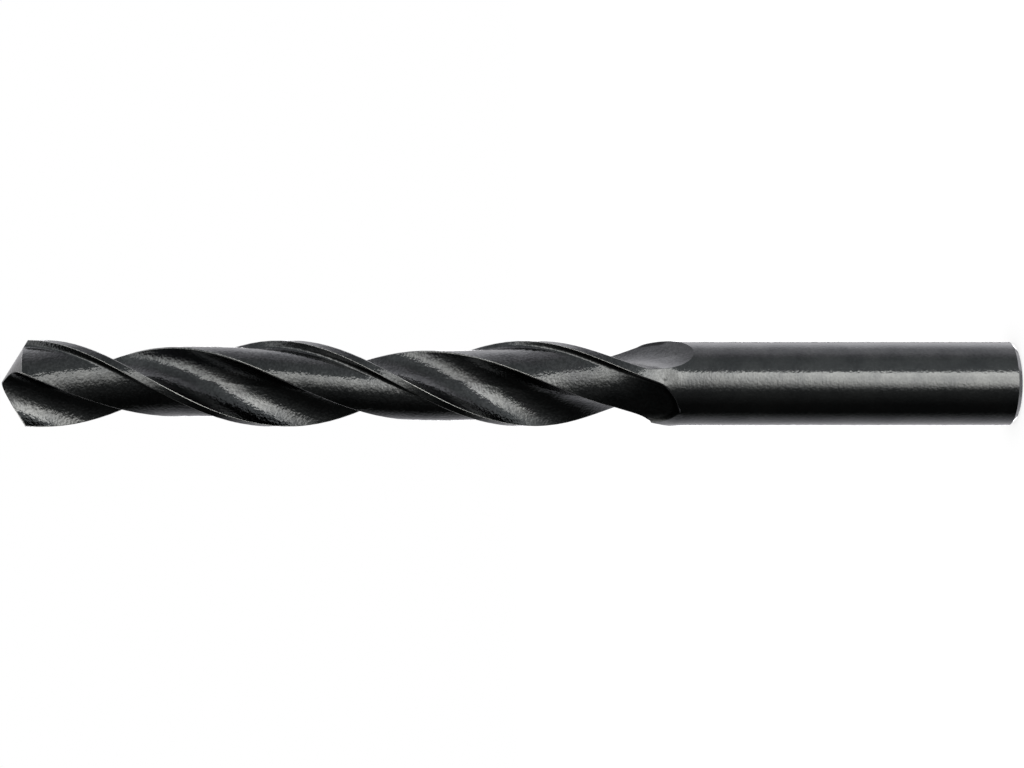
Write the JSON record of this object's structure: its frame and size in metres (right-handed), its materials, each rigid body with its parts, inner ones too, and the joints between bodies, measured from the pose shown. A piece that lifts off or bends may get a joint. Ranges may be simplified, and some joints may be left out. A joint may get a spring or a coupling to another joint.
{
  "type": "twist drill bit",
  "caption": "Straight-shank twist drill bit with helical flutes, relieved lands with narrow margins, and a ground point with a chisel edge.",
  "frame": {"origin": "centre of the flat end of the shank", "axes": "+Z along the drill axis from the shank end to the point; the first cutting lip's outer corner lies 30.8 degrees from +X towards +Y"},
  "size_m": [0.013, 0.013, 0.151],
  "materials": {
    "black_oxide_steel": "satin black oxide on high-speed steel, worn bright along the edges"
  },
  "bodies": {
    "root": {"drill_bit": "black_oxide_steel"}
  },
  "joints": []
}
